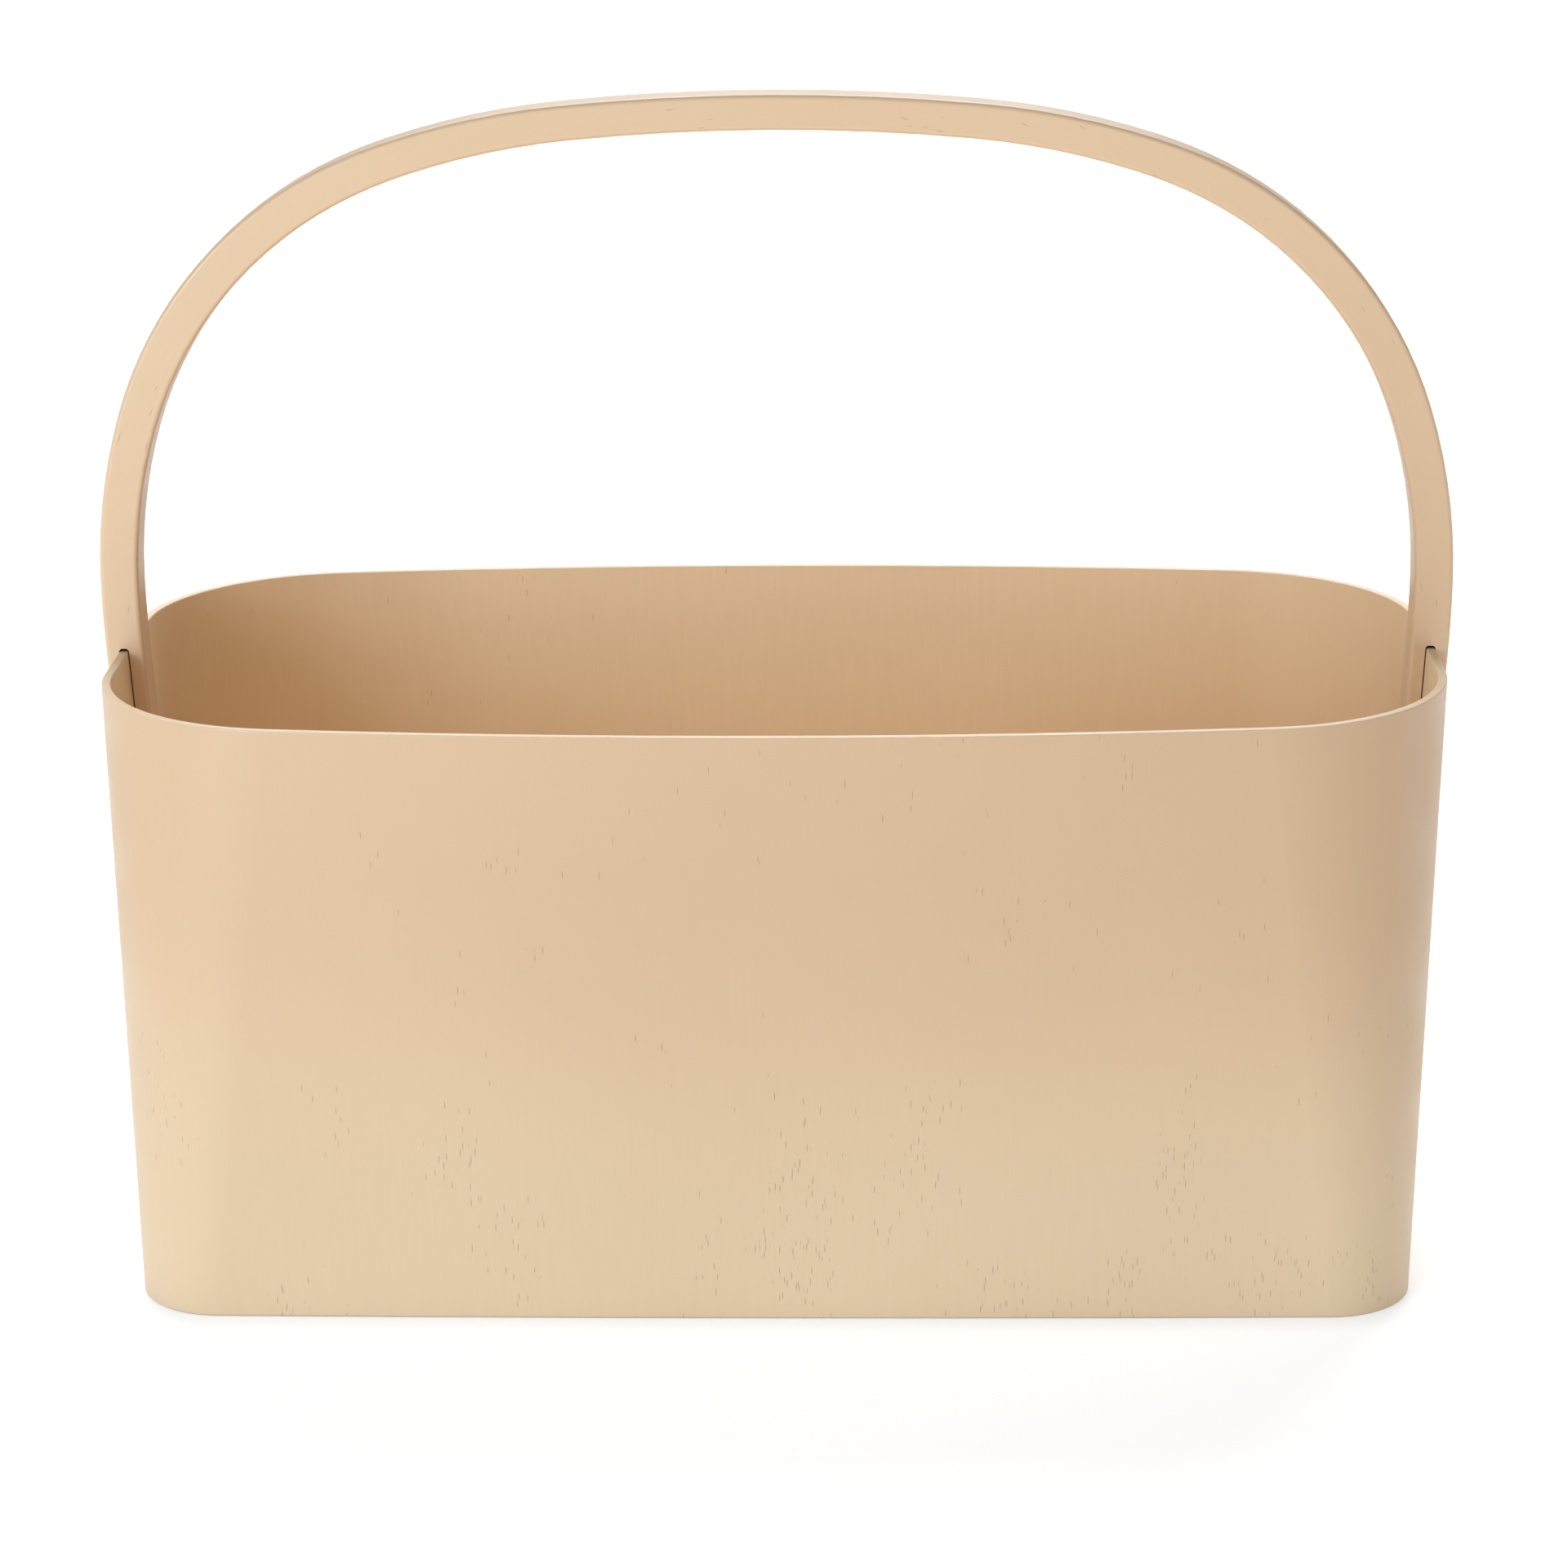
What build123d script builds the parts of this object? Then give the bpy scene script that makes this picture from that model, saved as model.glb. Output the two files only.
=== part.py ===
"""Garden trug: a tapered tub of thin moulded plywood, a base panel glued inside its foot, and a bent hoop
handle whose slotted feet straddle the two end walls and are screwed to them from the inside.

X runs along the tub, Y across it and Z up. The origin is on the ground, under the middle of the tub.
Lengths are in millimetres and angles in radians.
"""
from build123d import *
from itertools import accumulate, pairwise
from math import asin, atan2, cos, hypot, radians, sin
import os

# Tub: outside sizes at the rim and at the foot, and how far the rim stands out past the foot on each side
rim_length = 450.0
rim_width = 231.0
rim_side_radius = 1460.0
rim_corner_radius = 71.0
end_flare = 11.5
side_flare = 2.0
foot_side_radius = 12000.0
foot_corner_radius = 29.0
tub_height = 201.0
wall_thickness = 3.0
edge_easing = 0.5
edge_easing_steps = 3

# Base panel
panel_thickness = 5.0
panel_recess = 3.0
panel_clearance = 0.1

# Hoop handle: its section, its outline above the rim and its slotted feet
hoop_depth = 15.0
hoop_height = 390.0
hoop_top_thickness = 11.8
hoop_widest_height = 224.7
hoop_side_radius = 420.0
hoop_easing = 1.6
outer_tine = 4.5
inner_tine = 5.1
tine_length = 70.0
slot_outer_clearance = 0.1
slot_inner_clearance = 0.4
slot_root_gap = 0.9
slot_root_radius = 1.2

# Arcs of the hoop's right half, from its widest place to its top, set against an ellipse of the same half width and
# rise: the share of its quarter that each arc follows, and for all but the first and the last, which are worked out
# to close the curve, the radii as shares of the ellipse's
hoop_turn_shares = (0.146, 0.5, 0.085, 0.186, 0.083)
hoop_radius_shares = (0.774, 0.635, 0.889)

# Countersunk screws that hold the inner tines, the wall and the outer tines together
screw_radius = 1.5
screw_head_radius = 2.8
screw_length = 12.0
screw_tip_length = 1.5
screw_clearance = 0.05
screw_first_drop = 30.0
screw_spacing = 24.0
screws_per_foot = 2
socket_corner_radius = 1.2
socket_depth = 1.0

# How far a cutting body runs past what it cuts
overrun = 2.0

# Worked out from the sizes above: the wall is straight from the top of its eased foot to its eased rim
foot_length = rim_length - 2 * end_flare
foot_width = rim_width - 2 * side_flare
rim_edge_height = tub_height - edge_easing
end_lean = atan2(end_flare, rim_edge_height - edge_easing)
slot_width = slot_outer_clearance + wall_thickness + slot_inner_clearance
leg_thickness = outer_tine + slot_width + inner_tine
hoop_standoff = slot_outer_clearance + outer_tine
screw_head_depth = screw_head_radius - screw_radius

# Plane across the right-hand end wall: x outwards through the wall, y up along it, from its outer rim edge
end_plane = Plane(
    origin=(rim_length / 2, 0, rim_edge_height),
    x_dir=(cos(end_lean), 0, -sin(end_lean)),
    z_dir=(0, -1, 0),
)


def arc(centre, radius, start, end):
    """Arc between two angles in radians on a circle in the drawing plane."""
    angles = (start, (start + end) / 2, end)
    return ThreePointArc(*(Vector(centre) + Vector(cos(angle), sin(angle)) * radius for angle in angles))


def tub_outline(length, width, corner_radius, side_radius, inset, height):
    """Level section of the tub: straight ends, round corners and long sides that bow out a little."""
    corner_x = length / 2 - corner_radius
    bow = asin(corner_x / (side_radius - corner_radius))
    side_y = width / 2 - side_radius
    corner_y = side_y + (side_radius - corner_radius) * cos(bow)
    quarter_turn = radians(90)
    half = [
        arc((corner_x, corner_y), corner_radius - inset, 0, quarter_turn - bow),
        arc((0, side_y), side_radius - inset, quarter_turn - bow, quarter_turn + bow),
        arc((-corner_x, corner_y), corner_radius - inset, quarter_turn + bow, 2 * quarter_turn),
    ]
    other_half = [edge.rotate(Axis.Z, 180) for edge in half]
    ends = [Line(half[-1] @ 1, other_half[0] @ 0), Line(other_half[-1] @ 1, half[0] @ 0)]
    return Pos(0, 0, height) * Face(Wire([*half, ends[0], *other_half, ends[1]]))


def foot_outline(inset, height):
    """Level section with the foot's sizes."""
    return tub_outline(foot_length, foot_width, foot_corner_radius, foot_side_radius, inset, height)


def rim_outline(inset, height):
    """Level section with the rim's sizes."""
    return tub_outline(rim_length, rim_width, rim_corner_radius, rim_side_radius, inset, height)


def tub_body(inset, easing=0):
    """Solid inside the tub's outer skin, set in from it all round. Its foot and its rim are straight where easing
    is 0, drawn in by a rounded edge of that size, or flared by one where it is negative."""
    quarter_turn = radians(90)
    angles = [quarter_turn * step / edge_easing_steps for step in range(edge_easing_steps + 1 if easing else 1)]
    steps = [(inset + easing * (1 - cos(angle)), edge_easing * (1 - sin(angle))) for angle in angles]
    foot = [foot_outline(step_inset, height) for step_inset, height in reversed(steps)]
    rim = [rim_outline(step_inset, tub_height - drop) for step_inset, drop in steps]
    return loft([*foot, *rim], ruled=True)


def both_ends(solid):
    """The same feature at the right-hand end and, turned round, at the left-hand end."""
    return [solid, solid.rotate(Axis.Z, 180)]


def screw_planes():
    """Planes at the right-hand screws: origin at the head on the inner tine, z along the screw."""
    head_x = hoop_standoff - leg_thickness
    drops = (screw_first_drop + index * screw_spacing for index in range(screws_per_foot))
    return [Plane(end_plane.from_local_coords((head_x, -drop, 0)), z_dir=end_plane.x_dir) for drop in drops]


def screw_body(clearance=0):
    """Countersunk screw along +Z with its head at the origin, or the space that it needs."""
    base = (Align.CENTER, Align.CENTER, Align.MIN)
    radius = screw_radius + clearance
    shank_length = screw_length - screw_head_depth - screw_tip_length
    body = Cone(screw_head_radius + clearance, radius, screw_head_depth, align=base)
    body += Pos(0, 0, screw_head_depth) * Cylinder(radius, shank_length, align=base)
    tip = Cone(radius, radius / 2, screw_tip_length + clearance, align=base)
    return body + Pos(0, 0, screw_head_depth + shank_length) * tip


def screw_holes():
    """Countersunk holes for all the screws, open at the inner tines' faces."""
    base = (Align.CENTER, Align.CENTER, Align.MIN)
    mouth = Pos(0, 0, -overrun) * Cylinder(screw_head_radius + screw_clearance, overrun, align=base)
    hole = screw_body(screw_clearance) + mouth
    return [copy for plane in screw_planes() for copy in both_ends(plane.location * hole)]


def make_wall():
    """Moulded plywood band that forms the four sides, with its rim and its foot eased."""
    wall = tub_body(0, edge_easing) - tub_body(wall_thickness, -edge_easing)
    return wall - screw_holes()


def make_base_panel():
    """Flat board glued inside the foot of the wall, a little above the ground."""
    size = rim_length + rim_width
    slab = Box(size, size, panel_thickness, align=(Align.CENTER, Align.CENTER, Align.MIN))
    return tub_body(wall_thickness + panel_clearance) & Pos(0, 0, panel_recess) * slab


def half_width(standoff, side_radius):
    """Half the hoop's width at its widest place, for a curve that stands off from the end walls."""
    side_drop = (hoop_widest_height - rim_edge_height) * sin(end_lean)
    return rim_length / 2 + side_radius + (standoff - side_radius + side_drop) / cos(end_lean)


def crown_shape():
    """Angles between the arcs of the hoop's crown, and the radii of all but the first and the last as shares of the
    half width. Both follow an ellipse, so they suit any half width and rise."""
    width = half_width(hoop_standoff, hoop_side_radius)
    rise = hoop_height - hoop_widest_height
    turns = [radians(90) * share for share in accumulate(hoop_turn_shares, initial=0)]
    angles = [atan2(width * sin(turn), rise * cos(turn)) for turn in turns]
    middles = [(start + end) / 2 for start, end in pairwise(turns[1:-1])]
    bends = [hypot(width * sin(middle), rise * cos(middle)) ** 3 / (width * rise) for middle in middles]
    return angles, [share * bend / width for share, bend in zip(hoop_radius_shares, bends)]


def crown_radii(width, rise):
    """Radii of all the crown's arcs for a half width and a rise, with the first and the last closing the curve."""
    angles, shares = crown_shape()
    across = [cos(start) - cos(end) for start, end in pairwise(angles)]
    up = [sin(end) - sin(start) for start, end in pairwise(angles)]
    radii = [width * share for share in shares]
    width_left = width - sum(radius * step for radius, step in zip(radii, across[1:]))
    rise_left = rise - sum(radius * step for radius, step in zip(radii, up[1:]))
    scale = across[0] * up[-1] - across[-1] * up[0]
    first = (width_left * up[-1] - rise_left * across[-1]) / scale
    last = (rise_left * across[0] - width_left * up[0]) / scale
    return [first, *radii, last]


def hoop_curve(standoff, side_radius, top_height):
    """Line along the hoop, from the right foot over the top to the left foot. Its legs are straight and stand off
    from the end walls, and a chain of arcs joins them."""
    width = half_width(standoff, side_radius)
    angles = crown_shape()[0]
    radii = [side_radius, *crown_radii(width, top_height - hoop_widest_height)]
    turns = [end_lean, *(end - start for start, end in pairwise(angles))]
    side_centre = Vector(width - side_radius, hoop_widest_height)
    angle = -end_lean
    point = side_centre + Vector(cos(angle), sin(angle)) * side_radius
    arcs = []
    for radius, turn in zip(radii + radii[::-1], turns + turns[::-1]):
        centre = point - Vector(cos(angle), sin(angle)) * radius
        arcs.append(arc(centre, radius, angle, angle + turn))
        point = arcs[-1] @ 1
        angle += turn
    foot = end_plane.from_local_coords((standoff, -tine_length, 0))
    return [Line((foot.X, foot.Z), arcs[0] @ 0), *arcs, Line(arcs[-1] @ 1, (-foot.X, foot.Z))]


def make_hoop():
    """Bent hoop, thicker at its feet than at its top, with rounded edges and a slot in each foot for the end wall."""
    outer = hoop_curve(hoop_standoff, hoop_side_radius, hoop_height)
    inner_radius = hoop_side_radius - leg_thickness
    inner = hoop_curve(hoop_standoff - leg_thickness, inner_radius, hoop_height - hoop_top_thickness)
    ends = [Line(outer[0] @ 0, inner[0] @ 0), Line(outer[-1] @ 1, inner[-1] @ 1)]
    profile = Plane.XZ * Face(Wire([*outer, *inner, *ends]))
    hoop = extrude(profile, hoop_depth / 2, both=True)
    side_edges = [edge for face in hoop.faces().filter_by(Axis.Y) for edge in face.edges()]
    end_edges = hoop.edges().filter_by(Axis.Y).sort_by(Axis.Z)[:4]
    hoop = fillet([*side_edges, *end_edges], hoop_easing)
    return hoop - both_ends(make_slot()) - screw_holes()


def make_slot():
    """Slot in the right foot: as wide as the end wall with clearance, with its root a little above the rim."""
    root_height = edge_easing + slot_root_gap
    length = tine_length + root_height + overrun
    middle = (slot_outer_clearance - slot_inner_clearance - wall_thickness) / 2
    profile = Pos(middle, root_height) * Rectangle(slot_width, length, align=(Align.CENTER, Align.MAX))
    profile = fillet(profile.vertices().sort_by(Axis.Y)[-2:], slot_root_radius)
    return extrude(end_plane * profile, hoop_depth / 2 + overrun, both=True)


def make_screws():
    """Screws of both feet, with a hexagon socket in each head."""
    socket = Pos(0, 0, -overrun) * extrude(RegularPolygon(socket_corner_radius, 6), socket_depth + overrun)
    screw = screw_body() - socket
    return Compound([copy.solid() for plane in screw_planes() for copy in both_ends(plane.location * screw)])


parts = {
    "wall_shell": make_wall(),
    "base_panel": make_base_panel(),
    "hoop_handle": make_hoop(),
    "handle_screws": make_screws(),
}

os.makedirs("parts", exist_ok=True)
for name, shape in parts.items():
    export_step(shape, f"parts/{name}.step")
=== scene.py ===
"""Looks for the garden trug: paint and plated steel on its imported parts, a floor, studio light and a camera.

Everything is in metres, in the frame of the parts: X along the tub, Y across it and Z up from the ground.
"""

from math import cos, pi, radians, sin

import bpy
from mathutils import Matrix, Vector

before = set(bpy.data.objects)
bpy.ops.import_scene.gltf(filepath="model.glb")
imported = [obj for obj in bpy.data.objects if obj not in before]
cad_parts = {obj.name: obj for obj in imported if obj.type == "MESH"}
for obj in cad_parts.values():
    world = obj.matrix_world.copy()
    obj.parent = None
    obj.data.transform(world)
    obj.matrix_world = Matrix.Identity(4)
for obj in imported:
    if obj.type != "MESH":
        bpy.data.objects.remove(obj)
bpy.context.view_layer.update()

MM = 0.001
WHITE = (1.0, 1.0, 1.0)

# Camera, as fitted to the photograph
IMAGE_SIDE = 1920
FOCAL_PIXELS = 5205.3
SENSOR_WIDTH = 36.0
CAMERA_TARGET = Vector((2.55 * MM, 0.07 * MM, 150.9 * MM))
CAMERA_DISTANCE = 1474.5 * MM
CAMERA_TURN = radians(1.5)
CAMERA_PITCH = radians(16.78)
CAMERA_ROLL = radians(0.526)

# Paint, in linear light: the outside's top, and lighter copies of it that are painted light: at its foot for
# light from the floor, on the rim for light from above, on the inside and the base for light bounced in the
# tub, and on the hoop for the brighter light on it; rubbed edges, lightened also as a painted highlight, and
# the deeper tone of its drifts
PAINT_COLOUR = (0.630, 0.422, 0.250)
PAINT_LOW_FLOOR_LIGHT = (0.740, 0.555, 0.355)
PAINT_RIM_TOP_LIGHT = (0.880, 0.650, 0.420)
PAINT_INSIDE_BOUNCE_LIGHT = (0.905, 0.682, 0.436)
PAINT_HOOP_LIT = (0.700, 0.487, 0.302)
PAINT_RUB_HIGHLIGHT = (0.840, 0.640, 0.430)
PAINT_DEEP = (0.560, 0.370, 0.205)

# A pair of numbers is a range: where a change starts and where it is whole, or what it changes from and to.
# Most values of a noise lie in this one
NOISE_RANGE = (0.3, 0.7)

# Sheen of the paint, and its fine skin
PAINT_SHEEN = 0.6
PAINT_IOR = 1.5
PAINT_ROUGHNESS = (0.36, 0.48)
SHEEN_SCALE = 35.0
SKIN_SCALE = 1400.0
SKIN_DEPTH = 0.012 * MM

# Heights over which the wall's outside gets lighter towards the foot, a painted light from the floor, and how
# far upwards a surface faces to take the rim's lighter colour, a painted light from above
FLOOR_LIGHT_HEIGHTS = (160 * MM, 0.0)
TOP_LIGHT_SLOPES = (0.1, 0.6)

# Drifts of the paint's tone, and the fibres that show through, whose cells are larger than a pore's
DRIFT_SCALE = 7.0
DRIFT_WEIGHT = 0.75
FIBRE_CELLS = 2.5
FIBRE_WEIGHT = 0.25
FIBRE_DEPTH = 0.030 * MM
DEEP_TONES = (0.7, 0.3)
DEEP_SHARE = 0.2

# Hoop's bend: the height of its middle and its radius, for grain that follows it
BEND_HEIGHT = 190 * MM
BEND_RADIUS = 210 * MM

# Pores of the wood under the paint: cell size across and along the grain, the share of a cell that a pore
# takes, and the share of the pore that has its full depth
PORE_WIDTH = 0.5 * MM
PORE_LENGTH = 6.5 * MM
PORE_SHARE = 0.28
PORE_CORE = 0.5
PORE_DEPTH = 0.09 * MM
PORE_COLOUR = (0.20, 0.11, 0.055)
PORE_DARKNESS = 0.45

# Clusters of pores, and how likely a cell in one has a pore: seldom up the wall, and more often near its foot
CLUSTER = (30 * MM, 30 * MM, 55 * MM)
CLUSTER_NOISE = (0.47, 0.66)
PORE_HEIGHTS = (110 * MM, 0.0)
PORE_CHANCES = (0.05, 0.60)

# Edges: how far the direction of a rounded edge agrees with the surface's, and how much paint is rubbed there.
# The rubbed paint is lighter, as wear and as a painted highlight along the edges
EDGE_SAMPLES = 6
EDGE_COSINES = (0.97, 0.80)
RUB_HIGHLIGHT_RADIUS = 0.5 * MM
RUB_HIGHLIGHT_SCALE = 90.0
RUB_HIGHLIGHT_NOISE = (0.3, 0.6)
RUB_HIGHLIGHT_SHARES = (0.35, 0.9)

# Painted shade in narrow gaps: a dark colour where other surfaces stand close
OPENNESS_SAMPLES = 4
GAP_SHADE_COLOUR = (0.05, 0.03, 0.02)
GAP_SHADE_REACH = 2.0 * MM
GAP_SHADE_OPENNESS = (0.45, 0.10)

# Zinc plate, with its turning marks
STEEL_COLOUR = (0.62, 0.61, 0.59)
STEEL_DULL = (0.40, 0.39, 0.37)
STEEL_RUBBED = (0.80, 0.79, 0.76)
STEEL_ROUGHNESS = (0.28, 0.46)
STEEL_RUB_RADIUS = 0.2 * MM
MOTTLE_SCALE = 900.0
MOTTLE_NOISE = (0.35, 0.7)
TURNING_MARK = (2 * MM, 0.08 * MM, 0.08 * MM)
TURNING_DEPTH = 0.01 * MM

# Floor, which glows so that it stays pale, and glows less close to the trug: a painted contact shadow
FLOOR_SIZE = 120.0
FLOOR_COLOUR = (0.70, 0.70, 0.70)
FLOOR_ROUGHNESS = 0.9
FLOOR_GLOW = 0.62
CONTACT_SHADOW_REACH = 14 * MM
CONTACT_SHADOW_SHARE = 0.72
CONTACT_SHADOW_OPENNESS = (0.5, 1.0)

# White surroundings: as bright as the horizon up to the first height, and as dim as the sky from the second
HORIZON_STRENGTH = 1.0
HORIZON_TOP = radians(3)
SKY_STRENGTH = 0.22
SKY_FROM = radians(8)

# Large lamps: bearing from the front (to the right is positive), height above the horizon and strength
LAMP_SOFTNESS = radians(45)
LAMPS = {
    "Front": (radians(-12), radians(36), 0.32),
    "Back": (radians(180), radians(42), 2.5),
}

# Lamp near the tub. Its strength is the light that reaches the origin, in the unit of the large lamps
SIDE_BEARING = radians(-38)
SIDE_HEIGHT = radians(20)
SIDE_DISTANCE = 1.6
SIDE_RADIUS = 0.35
SIDE_STRENGTH = 1.28
SIDE_COLOUR = (0.72, 0.87, 1.0)


class Graph:
    """Shorthand for the nodes of a material or of the world."""

    # A colour mix has sockets for every kind of data: these are its share, its two colours and its result
    MIX_SHARE, MIX_FIRST, MIX_SECOND, MIX_RESULT = 0, 6, 7, 2

    def __init__(self, owner, shader="Principled BSDF"):
        owner.use_nodes = True
        self.tree = owner.node_tree
        self.shader = self.tree.nodes[shader]

    def put(self, socket, value):
        """Links a socket to another, or sets its value. A colour gets its alpha here."""
        if isinstance(value, bpy.types.NodeSocket):
            self.tree.links.new(value, socket)
        elif hasattr(value, "__len__") and len(socket.default_value) == 4:
            socket.default_value = (*value, 1.0)
        else:
            socket.default_value = value

    def shade(self, inputs):
        """Links or sets inputs of the shader itself."""
        for key, value in inputs.items():
            self.put(self.shader.inputs[key], value)

    def node(self, kind, inputs=None, **settings):
        """New node with its settings, and with each input linked to a socket or set to a value."""
        made = self.tree.nodes.new(kind)
        for key, value in settings.items():
            setattr(made, key, value)
        for key, value in (inputs or {}).items():
            self.put(made.inputs[key], value)
        return made

    def maths(self, operation, *values):
        return self.node("ShaderNodeMath", dict(enumerate(values)), operation=operation).outputs[0]

    def vector_maths(self, operation, *values):
        """Number worked out from vectors."""
        made = self.node("ShaderNodeVectorMath", dict(enumerate(values)), operation=operation)
        return made.outputs["Value"]

    def axes(self, vector):
        """X, Y and Z of a vector."""
        return self.node("ShaderNodeSeparateXYZ", {0: vector}).outputs

    def vector(self, *values):
        return self.node("ShaderNodeCombineXYZ", dict(enumerate(values))).outputs[0]

    def fade(self, value, low, high, start=0.0, end=1.0):
        """Value brought smoothly from low..high to start..end."""
        inputs = {"Value": value, "From Min": low, "From Max": high, "To Min": start, "To Max": end}
        return self.node("ShaderNodeMapRange", inputs, interpolation_type="SMOOTHSTEP").outputs[0]

    def noise(self, place, scale=1.0, detail=2.0):
        inputs = {"Vector": place, "Scale": scale, "Detail": detail}
        return self.node("ShaderNodeTexNoise", inputs).outputs[0]

    def blend(self, share, first, second):
        """Colour between two, by a share."""
        inputs = {self.MIX_SHARE: share, self.MIX_FIRST: first, self.MIX_SECOND: second}
        return self.node("ShaderNodeMix", inputs, data_type="RGBA").outputs[self.MIX_RESULT]

    def stretch(self, place, size):
        """Place divided by a size for each axis, so that one unit is one cell."""
        scale = tuple(1 / length for length in size)
        return self.node("ShaderNodeMapping", {"Vector": place, "Scale": scale}).outputs[0]

    def bump(self, height, distance, normal=None):
        """Surface raised by a height from 0 to 1 times a distance, over another bump where one is given."""
        inputs = {"Height": height, "Distance": distance, "Strength": 1.0}
        if normal is not None:
            inputs["Normal"] = normal
        return self.node("ShaderNodeBump", inputs).outputs[0]

    def openness(self, reach):
        """1 in the open, and less where other surfaces stand nearer than the reach."""
        inputs = {"Distance": reach}
        return self.node("ShaderNodeAmbientOcclusion", inputs, samples=OPENNESS_SAMPLES).outputs["AO"]

    def edges(self, radius):
        """1 on edges and 0 elsewhere."""
        rounded = self.node("ShaderNodeBevel", {"Radius": radius}, samples=EDGE_SAMPLES).outputs[0]
        normal = self.node("ShaderNodeNewGeometry").outputs["Normal"]
        return self.fade(self.vector_maths("DOT_PRODUCT", rounded, normal), *EDGE_COSINES)


def bent_place(graph, place):
    """Place along a bar bent in the XZ plane: distance from the bend's middle, Y and the run along the bar."""
    axes = graph.axes(place)
    rise = graph.maths("SUBTRACT", axes[2], BEND_HEIGHT)
    run = graph.maths("MULTIPLY", graph.maths("ARCTAN2", axes[0], rise), BEND_RADIUS)
    reach = graph.vector_maths("LENGTH", graph.vector(axes[0], rise))
    return graph.vector(reach, axes[1], run)


def grain_place(graph, place, grain):
    """Place that runs with the grain, and the size of a pore's cell there."""
    if grain == "X":
        return place, (PORE_LENGTH, PORE_WIDTH, PORE_WIDTH)
    along = bent_place(graph, place) if grain == "BOW" else place
    return along, (PORE_WIDTH, PORE_WIDTH, PORE_LENGTH)


def pores(graph, along, cell, chance):
    """1 in a pore and 0 elsewhere. Only some cells have one, by their chance, and they lie in clusters."""
    voronoi = graph.node("ShaderNodeTexVoronoi", {"Vector": graph.stretch(along, cell), "Scale": 1.0})
    spot = graph.fade(voronoi.outputs["Distance"], PORE_SHARE, PORE_SHARE * PORE_CORE)
    draw = graph.node("ShaderNodeSeparateColor", {0: voronoi.outputs["Color"]}).outputs[0]
    cluster = graph.fade(graph.noise(graph.stretch(along, CLUSTER)), *CLUSTER_NOISE)
    chosen = graph.maths("LESS_THAN", draw, graph.maths("MULTIPLY", cluster, chance))
    return graph.maths("MULTIPLY", spot, chosen)


def wall_paint(graph, place, normal, height):
    """Colour of the wall, with painted light: outside it is lighter towards the foot, for light from the
    floor, and the inside, for light bounced in the tub, and faces that look upwards such as the rim, for light
    from above, are lighter still.
    """
    outside = graph.blend(graph.fade(height, *FLOOR_LIGHT_HEIGHTS), PAINT_COLOUR, PAINT_LOW_FLOOR_LIGHT)
    outwards = graph.vector_maths("DOT_PRODUCT", normal, place)
    colour = graph.blend(graph.maths("LESS_THAN", outwards, 0.0), outside, PAINT_INSIDE_BOUNCE_LIGHT)
    return graph.blend(graph.fade(graph.axes(normal)[2], *TOP_LIGHT_SLOPES), colour, PAINT_RIM_TOP_LIGHT)


def drifted(graph, colour, place, fibres):
    """Colour with broad drifts of a deeper tone, and with fibres that show through faintly."""
    drift = graph.maths("MULTIPLY", graph.noise(place, DRIFT_SCALE, detail=1.0), DRIFT_WEIGHT)
    tone = graph.maths("ADD", drift, graph.maths("MULTIPLY", fibres, FIBRE_WEIGHT))
    return graph.blend(graph.fade(tone, *DEEP_TONES, 0.0, DEEP_SHARE), colour, PAINT_DEEP)


def worn_and_painted_light(graph, colour, place):
    """Colour with edges that are lighter where the paint is rubbed thin, as wear and as a painted highlight,
    and with
    painted shade: a dark colour in narrow gaps.
    """
    patches = graph.fade(graph.noise(place, RUB_HIGHLIGHT_SCALE), *RUB_HIGHLIGHT_NOISE, *RUB_HIGHLIGHT_SHARES)
    # Rubbed edges are lighter: wear, and a painted highlight along them
    rub_and_highlight = graph.maths("MULTIPLY", graph.edges(RUB_HIGHLIGHT_RADIUS), patches)
    colour = graph.blend(rub_and_highlight, colour, PAINT_RUB_HIGHLIGHT)
    # Painted shade: a dark colour in narrow gaps
    gap_shade = graph.fade(graph.openness(GAP_SHADE_REACH), *GAP_SHADE_OPENNESS)
    return graph.blend(gap_shade, colour, GAP_SHADE_COLOUR)


def paint_relief(graph, place, fibres, pore):
    """Relief of the paint's own fine skin, of the fibres under it and of the pores."""
    relief = graph.bump(graph.noise(place, SKIN_SCALE), SKIN_DEPTH)
    relief = graph.bump(fibres, FIBRE_DEPTH, relief)
    return graph.bump(graph.maths("SUBTRACT", 1.0, pore), PORE_DEPTH, relief)


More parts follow.
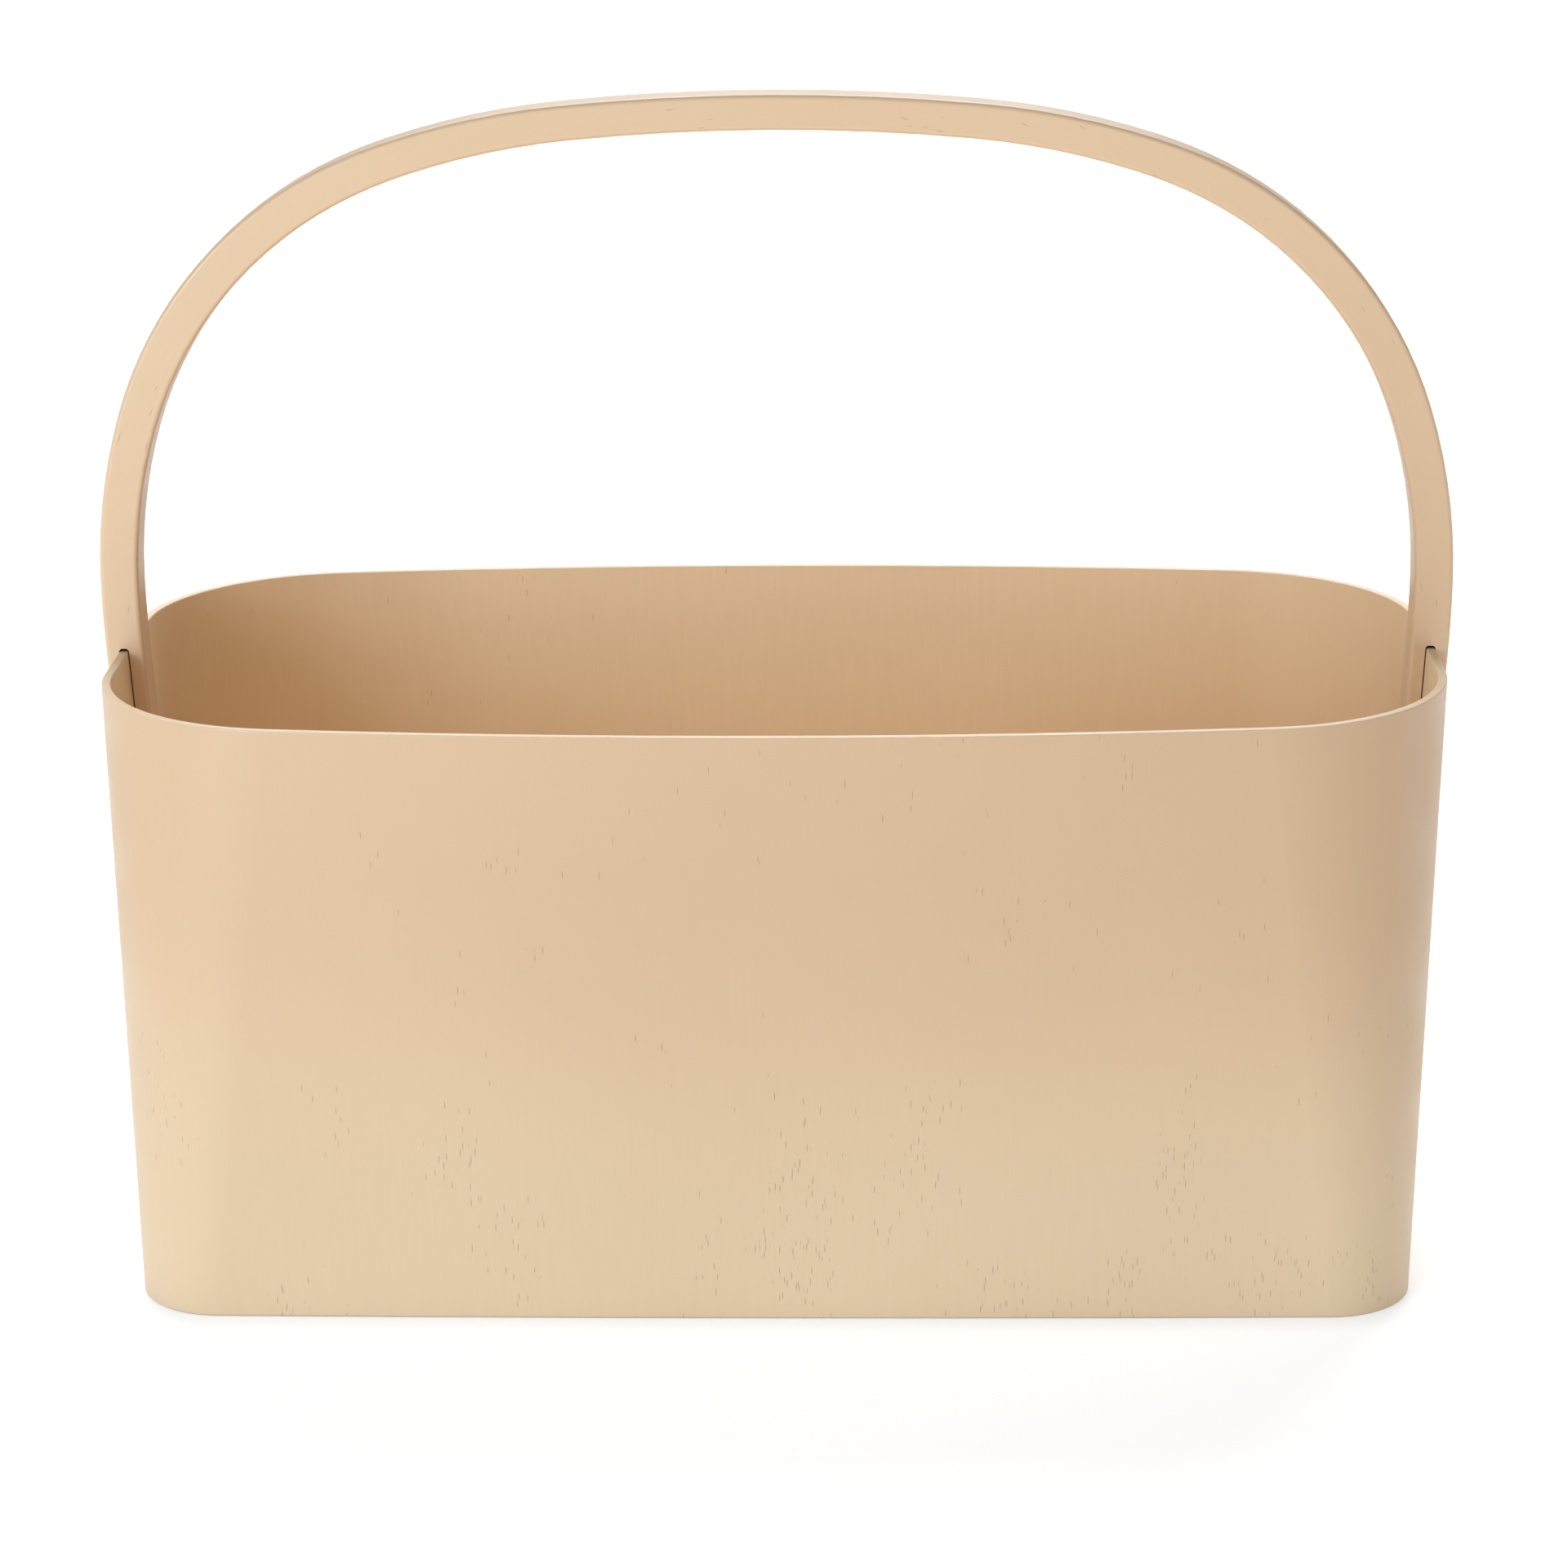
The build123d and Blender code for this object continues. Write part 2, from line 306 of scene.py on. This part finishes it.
def painted_wood(name, grain, piece):
    """Satin paint over open-pored wood. Grain is "X" or "Z", or "BOW" for a bar bent in the XZ plane, and the
    piece is "WALL", "BASE" or "HOOP"."""
    material = bpy.data.materials.new(name)
    graph = Graph(material)
    coordinates = graph.node("ShaderNodeTexCoord").outputs
    place = coordinates["Object"]
    along, cell = grain_place(graph, place, grain)
    fibres = graph.noise(graph.stretch(along, [size * FIBRE_CELLS for size in cell]), detail=3.0)
    chance = PORE_CHANCES[0]
    # Painted light: the base takes the inside's lighter copy of the paint, and the hoop a paler copy of its
    # own
    colour = PAINT_INSIDE_BOUNCE_LIGHT if piece == "BASE" else PAINT_HOOP_LIT
    if piece == "WALL":
        height = graph.axes(place)[2]
        chance = graph.fade(height, *PORE_HEIGHTS, *PORE_CHANCES)
        colour = wall_paint(graph, place, coordinates["Normal"], height)
    colour = drifted(graph, colour, place, fibres)
    pore = pores(graph, along, cell, chance)
    colour = graph.blend(graph.maths("MULTIPLY", pore, PORE_DARKNESS), colour, PORE_COLOUR)
    sheen = graph.noise(place, SHEEN_SCALE, detail=3.0)
    graph.shade({
        "Base Color": worn_and_painted_light(graph, colour, place),
        "Specular IOR Level": PAINT_SHEEN,
        "IOR": PAINT_IOR,
        "Roughness": graph.fade(sheen, *NOISE_RANGE, *PAINT_ROUGHNESS),
        "Normal": paint_relief(graph, place, fibres, pore),
    })
    return material


def plated_steel():
    """Dull zinc plate with fine turning marks and brighter rubbed edges."""
    material = bpy.data.materials.new("PlatedSteel")
    graph = Graph(material)
    place = graph.node("ShaderNodeTexCoord").outputs["Object"]
    mottle = graph.noise(place, MOTTLE_SCALE, detail=3.0)
    colour = graph.blend(graph.fade(mottle, *MOTTLE_NOISE), STEEL_DULL, STEEL_COLOUR)
    marks = graph.noise(graph.stretch(place, TURNING_MARK))
    graph.shade({
        "Base Color": graph.blend(graph.edges(STEEL_RUB_RADIUS), colour, STEEL_RUBBED),
        "Metallic": 1.0,
        "Roughness": graph.fade(mottle, *NOISE_RANGE, *STEEL_ROUGHNESS),
        "Normal": graph.bump(marks, TURNING_DEPTH),
    })
    return material


def floor_paper():
    """White paper, with a painted contact shadow where the trug stands on it: its glow is dimmed there."""
    material = bpy.data.materials.new("FloorPaper")
    graph = Graph(material)
    # Painted contact shadow: the glow is dimmed where the trug stands near
    glow = (FLOOR_GLOW * CONTACT_SHADOW_SHARE, FLOOR_GLOW)
    graph.shade({
        "Base Color": FLOOR_COLOUR,
        "Roughness": FLOOR_ROUGHNESS,
        "Emission Color": WHITE,
        "Emission Strength": graph.fade(graph.openness(CONTACT_SHADOW_REACH), *CONTACT_SHADOW_OPENNESS, *glow),
    })
    return material


def finish_node(name, material):
    """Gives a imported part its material."""
    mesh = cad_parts[name].data
    mesh.materials.clear()
    mesh.materials.append(material)


def add_floor():
    """Plain pale floor under the trug."""
    half = FLOOR_SIZE / 2
    mesh = bpy.data.meshes.new("Floor")
    corners = [(-half, -half, 0), (half, -half, 0), (half, half, 0), (-half, half, 0)]
    mesh.from_pydata(corners, [], [(0, 1, 2, 3)])
    mesh.materials.append(floor_paper())
    floor = bpy.data.objects.new("Floor", mesh)
    bpy.context.scene.collection.objects.link(floor)


def set_world():
    """White surroundings, bright along the horizon and dim above it."""
    world = bpy.data.worlds.new("Studio")
    graph = Graph(world, "Background")
    up = graph.axes(graph.node("ShaderNodeTexCoord").outputs["Generated"])[2]
    heights = (sin(HORIZON_TOP), sin(SKY_FROM))
    graph.shade({
        "Color": WHITE,
        "Strength": graph.fade(up, *heights, HORIZON_STRENGTH, SKY_STRENGTH),
    })
    bpy.context.scene.world = world


def place_lamp(data, bearing, height, distance=0.0):
    """Puts a lamp in a direction from the origin, turned to face it. A far lamp needs no distance."""
    outwards = Vector((sin(bearing) * cos(height), -cos(bearing) * cos(height), sin(height)))
    lamp = bpy.data.objects.new(data.name, data)
    lamp.location = outwards * distance
    lamp.rotation_euler = (-outwards).to_track_quat("-Z", "Y").to_euler()
    bpy.context.scene.collection.objects.link(lamp)


def add_lamp(name, bearing, height, strength):
    """Large soft lamp far away."""
    data = bpy.data.lights.new(name, "SUN")
    data.angle = LAMP_SOFTNESS
    data.energy = strength
    place_lamp(data, bearing, height)


def add_side_lamp():
    """Round soft box near the tub, a little cool, so that its light falls off along the front."""
    data = bpy.data.lights.new("Side", "AREA")
    data.shape = "DISK"
    data.size = 2 * SIDE_RADIUS
    data.energy = SIDE_STRENGTH * pi * (SIDE_DISTANCE ** 2 + SIDE_RADIUS ** 2)
    data.color = SIDE_COLOUR
    place_lamp(data, SIDE_BEARING, SIDE_HEIGHT, SIDE_DISTANCE)


def add_camera():
    """Camera at the photograph's place, with its turn, pitch and roll."""
    turn = Matrix.Rotation(CAMERA_TURN, 3, "Z")
    right = Vector((1, 0, 0))
    up = Vector((0, sin(CAMERA_PITCH), cos(CAMERA_PITCH)))
    ahead = Vector((0, cos(CAMERA_PITCH), -sin(CAMERA_PITCH)))
    side = right * cos(CAMERA_ROLL) - up * sin(CAMERA_ROLL)
    top = right * sin(CAMERA_ROLL) + up * cos(CAMERA_ROLL)
    axes = [turn @ axis for axis in (side, top, -ahead)]
    data = bpy.data.cameras.new("Camera")
    data.sensor_width = SENSOR_WIDTH
    data.lens = FOCAL_PIXELS * SENSOR_WIDTH / IMAGE_SIDE
    camera = bpy.data.objects.new("Camera", data)
    place = CAMERA_TARGET + axes[2] * CAMERA_DISTANCE
    camera.matrix_world = Matrix.Translation(place) @ Matrix(axes).transposed().to_4x4()
    bpy.context.scene.collection.objects.link(camera)
    bpy.context.scene.camera = camera


finish_node("wall_shell", painted_wood("PaintedWall", "Z", "WALL"))
finish_node("base_panel", painted_wood("PaintedBase", "X", "BASE"))
finish_node("hoop_handle", painted_wood("PaintedHoop", "BOW", "HOOP"))
finish_node("handle_screws", plated_steel())

add_floor()
set_world()
for name, lamp in LAMPS.items():
    add_lamp(name, *lamp)
add_side_lamp()
add_camera()
bpy.context.scene.view_settings.view_transform = "Standard"
